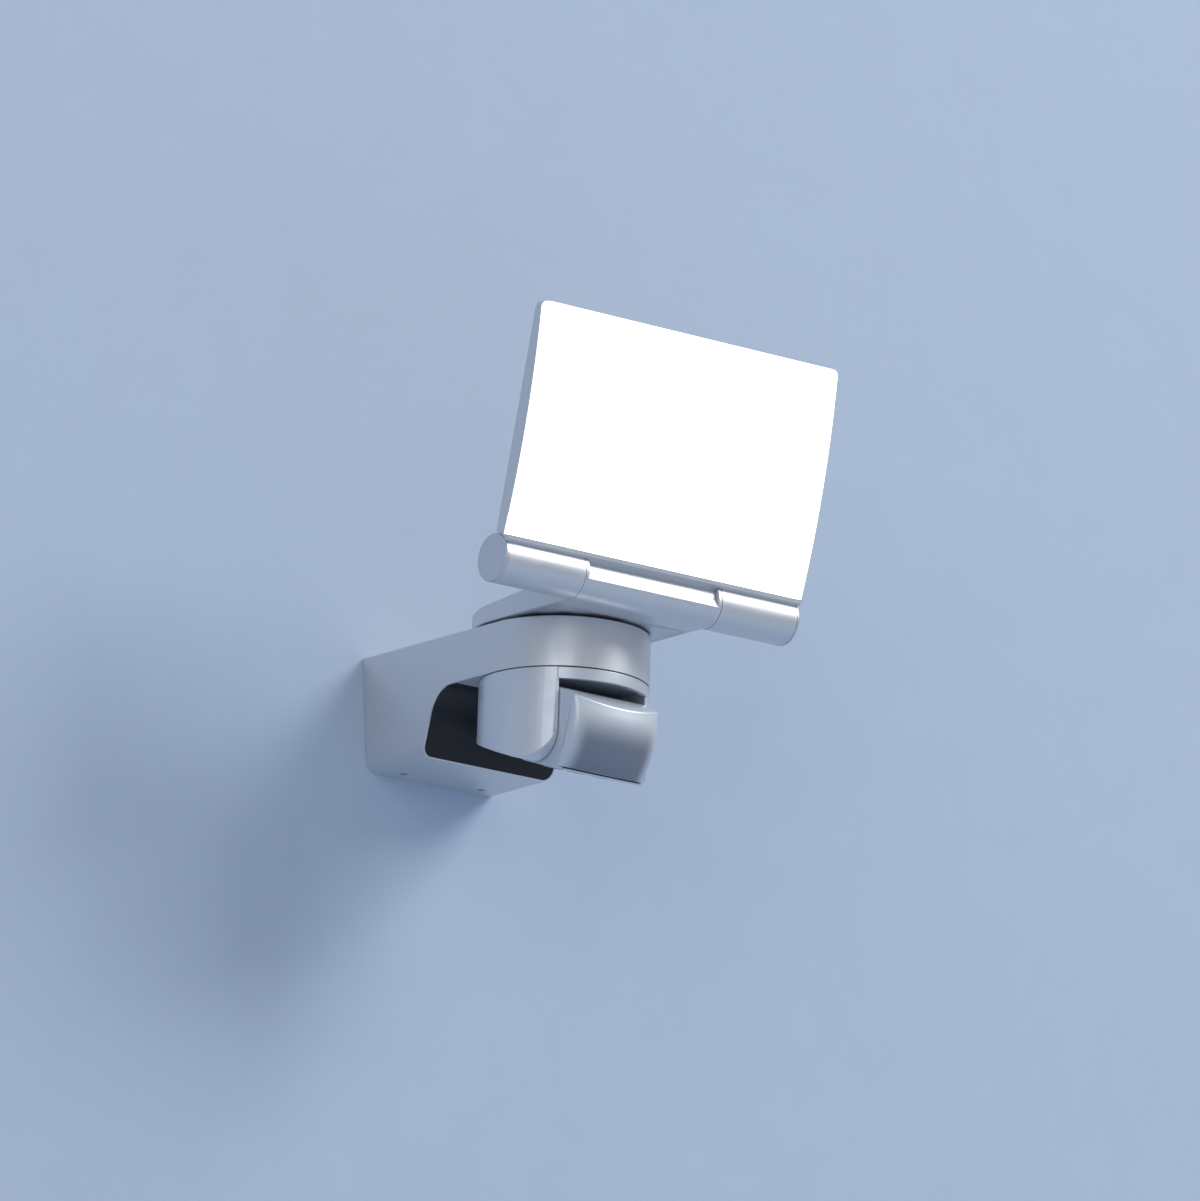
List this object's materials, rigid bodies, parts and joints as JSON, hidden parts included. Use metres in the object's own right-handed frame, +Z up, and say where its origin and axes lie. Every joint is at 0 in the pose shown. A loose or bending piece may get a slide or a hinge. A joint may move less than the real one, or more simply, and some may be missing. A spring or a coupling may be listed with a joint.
{
  "type": "motion sensor floodlight",
  "caption": "Wall-mounted LED panel floodlight with a motion sensor below its arm; the lamp and the sensor each pan and tilt on their own joints.",
  "frame": {"origin": "middle of the wall plate's back, on the wall plane", "axes": "+Z up, +Y into the wall, +X to the right seen from the front; the light stands out along -Y"},
  "size_m": [0.18, 0.2039, 0.2137],
  "materials": {
    "silver_cast": "satin silver paint on a casting",
    "silver_cap": "satin silver paint",
    "silver_plastic": "silver moulded plastic, satin gloss",
    "lens_grey": "grey moulded lens, satin gloss",
    "opal_white": "opal white diffuser",
    "black_cover": "near-black satin plastic",
    "zinc_plate": "zinc-plated sheet",
    "steel": "plain steel",
    "rubber": "black rubber",
    "white_plastic": "moulded plastic",
    "dark_plastic": "moulded plastic",
    "dial_grey": "moulded plastic",
    "board_green": "circuit board",
    "board_white": "white solder mask on an aluminium board",
    "led_yellow": "phosphor yellow"
  },
  "bodies": {
    "bracket": {"housing": "silver_cast", "recess_cover": "black_cover", "wall_plate": "zinc_plate", "cable_grommet": "rubber", "terminal_block": "white_plastic", "driver_board": "board_green", "transformer": "dark_plastic", "capacitor": "dark_plastic", "relay": "white_plastic"},
    "pan_head": {"pan_head": "silver_cast", "pan_base": "zinc_plate", "pan_nut": "steel"},
    "lamp_head": {"lamp_housing": "silver_cast", "diffuser": "opal_white", "led_board": "board_white", "led_chips": "led_yellow", "hinge_axle": "steel", "hinge_nuts": "steel", "end_caps": "silver_cap"},
    "sensor_mount": {"sensor_yoke": "silver_plastic", "front_band": "silver_plastic", "sensor_nut": "dark_plastic"},
    "sensor_head": {"head_shell": "silver_plastic", "sensor_lens": "lens_grey", "head_lid": "silver_plastic", "setting_board": "board_green", "sensor_board": "board_green", "detector": "steel", "tilt_pins": "dark_plastic"},
    "time_dial": {"dial_time": "dial_grey"},
    "light_dial": {"dial_light": "dial_grey"},
    "range_dial": {"dial_range": "dial_grey"}
  },
  "joints": [
    {"name": "head_pan", "type": "hinge", "parent": "bracket", "child": "pan_head", "pos_m": [0, -0.1075, 0.0306], "axis": [0, 0, 1], "range_deg": [-90, 90]},
    {"name": "lamp_tilt", "type": "hinge", "parent": "pan_head", "child": "lamp_head", "pos_m": [0, -0.1665, 0.0409], "axis": [1, 0, 0], "range_deg": [-75, 28]},
    {"name": "sensor_pan", "type": "hinge", "parent": "bracket", "child": "sensor_mount", "pos_m": [0, -0.1075, 0.0027], "axis": [0, 0, 1], "range_deg": [-90, 90]},
    {"name": "sensor_tilt", "type": "hinge", "parent": "sensor_mount", "child": "sensor_head", "pos_m": [0, -0.1195, -0.0214], "axis": [1, 0, 0], "range_deg": [-12, 50]},
    {"name": "time_turn", "type": "hinge", "parent": "sensor_head", "child": "time_dial", "pos_m": [-0.014, -0.11921, -0.0417], "axis": [0, -0.309, 0.9511], "range_deg": [-135, 135]},
    {"name": "light_turn", "type": "hinge", "parent": "sensor_head", "child": "light_dial", "pos_m": [0, -0.11921, -0.0417], "axis": [0, -0.309, 0.9511], "range_deg": [-135, 135]},
    {"name": "range_turn", "type": "hinge", "parent": "sensor_head", "child": "range_dial", "pos_m": [0.014, -0.11921, -0.0417], "axis": [0, -0.309, 0.9511], "range_deg": [-135, 135]}
  ]
}
